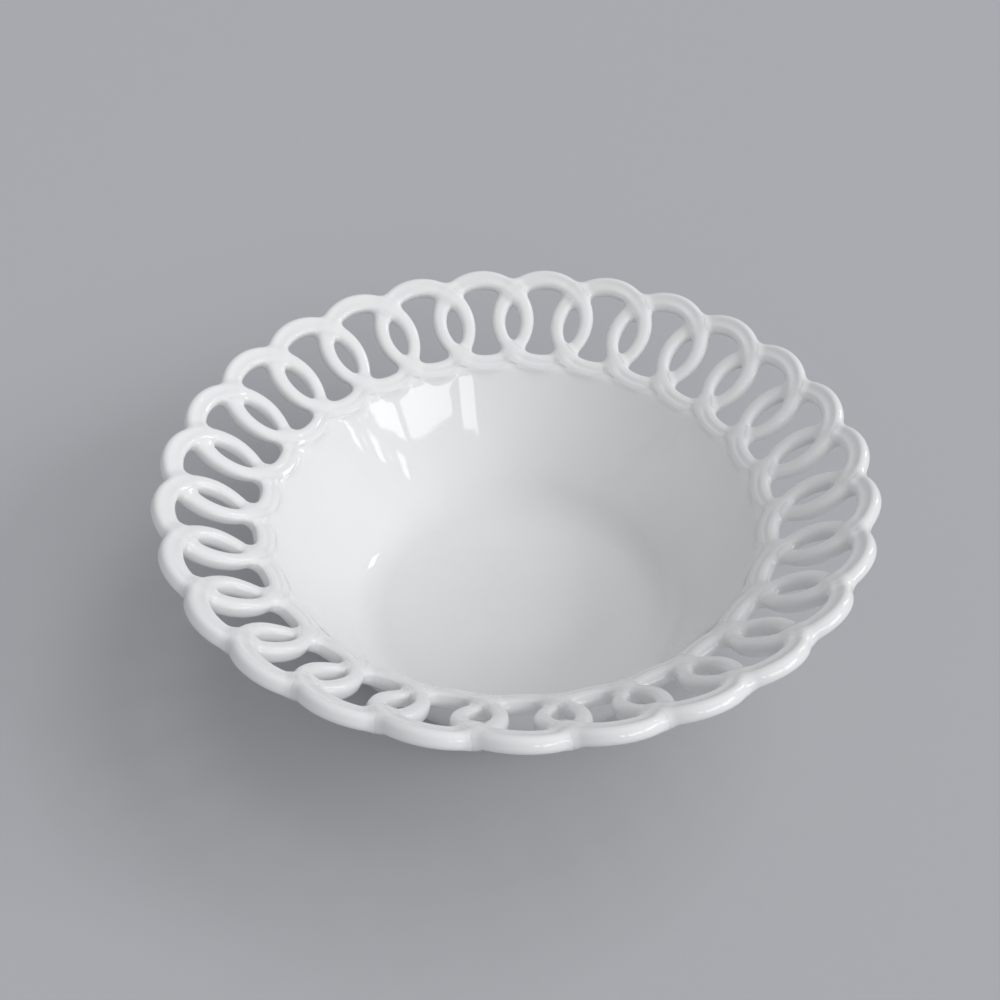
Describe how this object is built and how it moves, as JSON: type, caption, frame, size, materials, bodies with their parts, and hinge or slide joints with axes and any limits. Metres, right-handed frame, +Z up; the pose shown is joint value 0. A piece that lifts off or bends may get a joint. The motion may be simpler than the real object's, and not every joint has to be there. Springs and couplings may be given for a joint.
{
  "type": "openwork ceramic bowl",
  "caption": "Round white glazed bowl with a flared openwork rim of interlaced rings, for fruit or bread, standing on a low foot ring.",
  "frame": {"origin": "on the table under the centre of the bowl", "axes": "+Z up along the axis on which the bowl was thrown; ring_01 of the rim is centred on +Y"},
  "size_m": [0.2606, 0.2603, 0.0886],
  "materials": {
    "well_glaze": "glossy white glaze",
    "rim_glaze": "glossy white glaze",
    "foot_glaze": "glossy white glaze, thin at the edge it stands on"
  },
  "bodies": {
    "root": {"bowl_body": "well_glaze", "foot_ring": "foot_glaze", "ring_01": "rim_glaze", "ring_02": "rim_glaze", "ring_03": "rim_glaze", "ring_04": "rim_glaze", "ring_05": "rim_glaze", "ring_06": "rim_glaze", "ring_07": "rim_glaze", "ring_08": "rim_glaze", "ring_09": "rim_glaze", "ring_10": "rim_glaze", "ring_11": "rim_glaze", "ring_12": "rim_glaze", "ring_13": "rim_glaze", "ring_14": "rim_glaze", "ring_15": "rim_glaze", "ring_16": "rim_glaze", "ring_17": "rim_glaze", "ring_18": "rim_glaze", "ring_19": "rim_glaze", "ring_20": "rim_glaze", "ring_21": "rim_glaze", "ring_22": "rim_glaze", "ring_23": "rim_glaze", "ring_24": "rim_glaze", "ring_25": "rim_glaze", "ring_26": "rim_glaze", "ring_27": "rim_glaze"}
  },
  "joints": []
}
